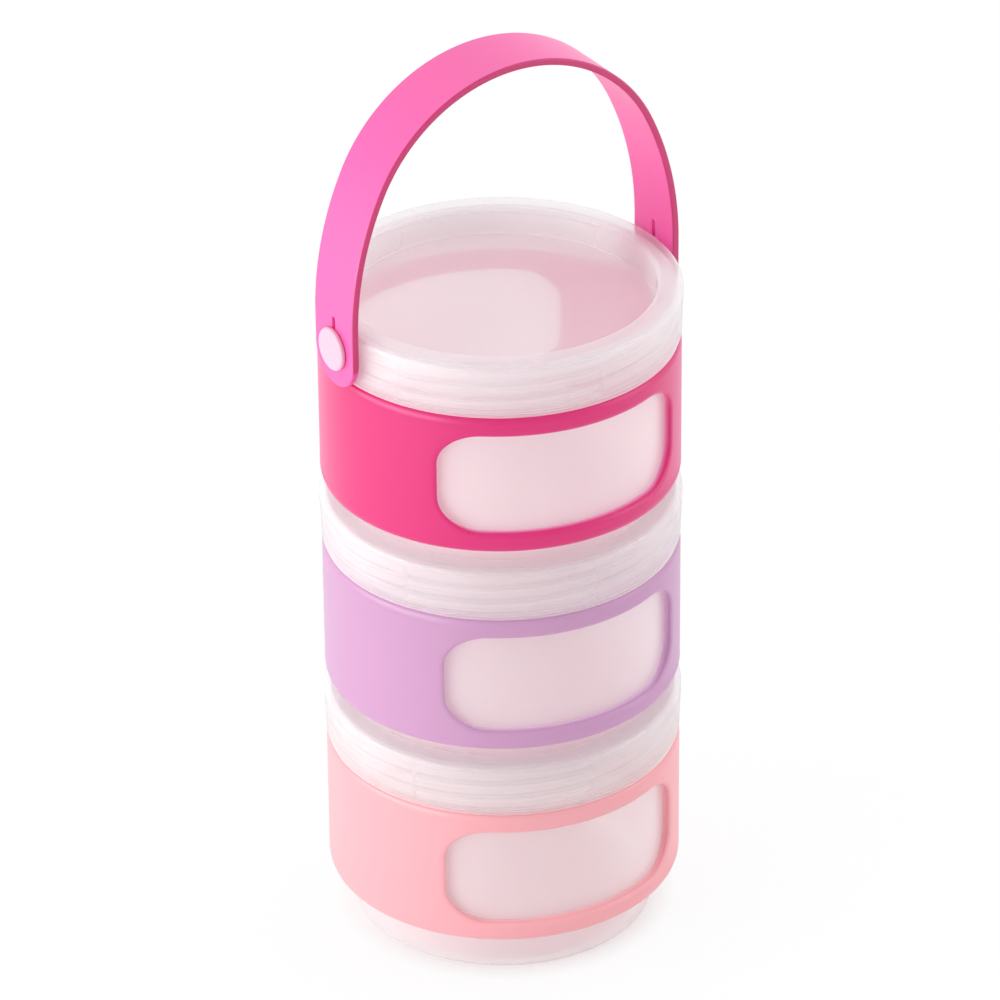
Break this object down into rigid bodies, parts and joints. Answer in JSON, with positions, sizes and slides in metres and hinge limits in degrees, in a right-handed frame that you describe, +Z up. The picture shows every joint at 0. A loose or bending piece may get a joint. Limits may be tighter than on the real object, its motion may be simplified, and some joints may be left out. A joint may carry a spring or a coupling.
{
  "type": "stackable snack container",
  "caption": "Stack of round snack pots with frosted screw lids, windowed silicone sleeves and a swinging carry strap.",
  "frame": {"origin": "centre of the bottom container's foot, on the surface that the stack stands on", "axes": "+Z up along the stack's axis; X through the strap's two pegs, so the strap's arch lies in the XZ plane"},
  "size_m": [0.0976, 0.0908, 0.2393],
  "materials": {
    "frosted_container": "satin, frosted see-through",
    "frosted_lid": "satin, frosted see-through",
    "seal_silicone": "matte",
    "sleeve_light_pink": "matte",
    "sleeve_lavender": "matte",
    "sleeve_hot_pink": "matte",
    "strap_hot_pink": "matte",
    "peg_blush": "satin"
  },
  "bodies": {
    "tier_bottom": {"container_bottom": "frosted_container", "sleeve_bottom": "sleeve_light_pink"},
    "cover_ring_bottom": {"seal_bottom": "seal_silicone"},
    "cover_bottom": {"lid_bottom": "frosted_lid"},
    "tier_middle": {"container_middle": "frosted_container", "sleeve_middle": "sleeve_lavender"},
    "cover_ring_middle": {"seal_middle": "seal_silicone"},
    "cover_middle": {"lid_middle": "frosted_lid"},
    "tier_top": {"container_top": "frosted_container", "sleeve_top": "sleeve_hot_pink"},
    "cover_ring_top": {"seal_top": "seal_silicone"},
    "cover_top": {"lid_top": "frosted_lid", "peg_left": "peg_blush", "peg_right": "peg_blush"},
    "handle": {"handle_strap": "strap_hot_pink"}
  },
  "joints": [
    {"name": "lid_bottom_rise", "type": "slide", "parent": "tier_bottom", "child": "cover_ring_bottom", "axis": [0, 0, 1], "range_m": [0, 0.016]},
    {"name": "lid_bottom_turn", "type": "hinge", "parent": "cover_ring_bottom", "child": "cover_bottom", "pos_m": [0, 0, 0.0508], "axis": [0, 0, 1], "range_deg": [0, 720]},
    {"name": "tier_middle_lift", "type": "slide", "parent": "cover_bottom", "child": "tier_middle", "axis": [0, 0, 1], "range_m": [0, 0.012]},
    {"name": "lid_middle_rise", "type": "slide", "parent": "tier_middle", "child": "cover_ring_middle", "axis": [0, 0, 1], "range_m": [0, 0.016]},
    {"name": "lid_middle_turn", "type": "hinge", "parent": "cover_ring_middle", "child": "cover_middle", "pos_m": [0, 0, 0.1074], "axis": [0, 0, 1], "range_deg": [0, 720]},
    {"name": "tier_top_lift", "type": "slide", "parent": "cover_middle", "child": "tier_top", "axis": [0, 0, 1], "range_m": [0, 0.012]},
    {"name": "lid_top_rise", "type": "slide", "parent": "tier_top", "child": "cover_ring_top", "axis": [0, 0, 1], "range_m": [0, 0.016]},
    {"name": "lid_top_turn", "type": "hinge", "parent": "cover_ring_top", "child": "cover_top", "pos_m": [0, 0, 0.164], "axis": [0, 0, 1], "range_deg": [0, 720]},
    {"name": "strap_swing", "type": "hinge", "parent": "cover_top", "child": "handle", "pos_m": [0, 0, 0.1722], "axis": [1, 0, 0], "range_deg": [-120, 120]}
  ],
  "couplings": [
    {"joint": "lid_bottom_rise", "follows": "lid_bottom_turn", "m_per_rad": 0.0012732},
    {"joint": "lid_middle_rise", "follows": "lid_middle_turn", "m_per_rad": 0.0012732},
    {"joint": "lid_top_rise", "follows": "lid_top_turn", "m_per_rad": 0.0012732}
  ]
}
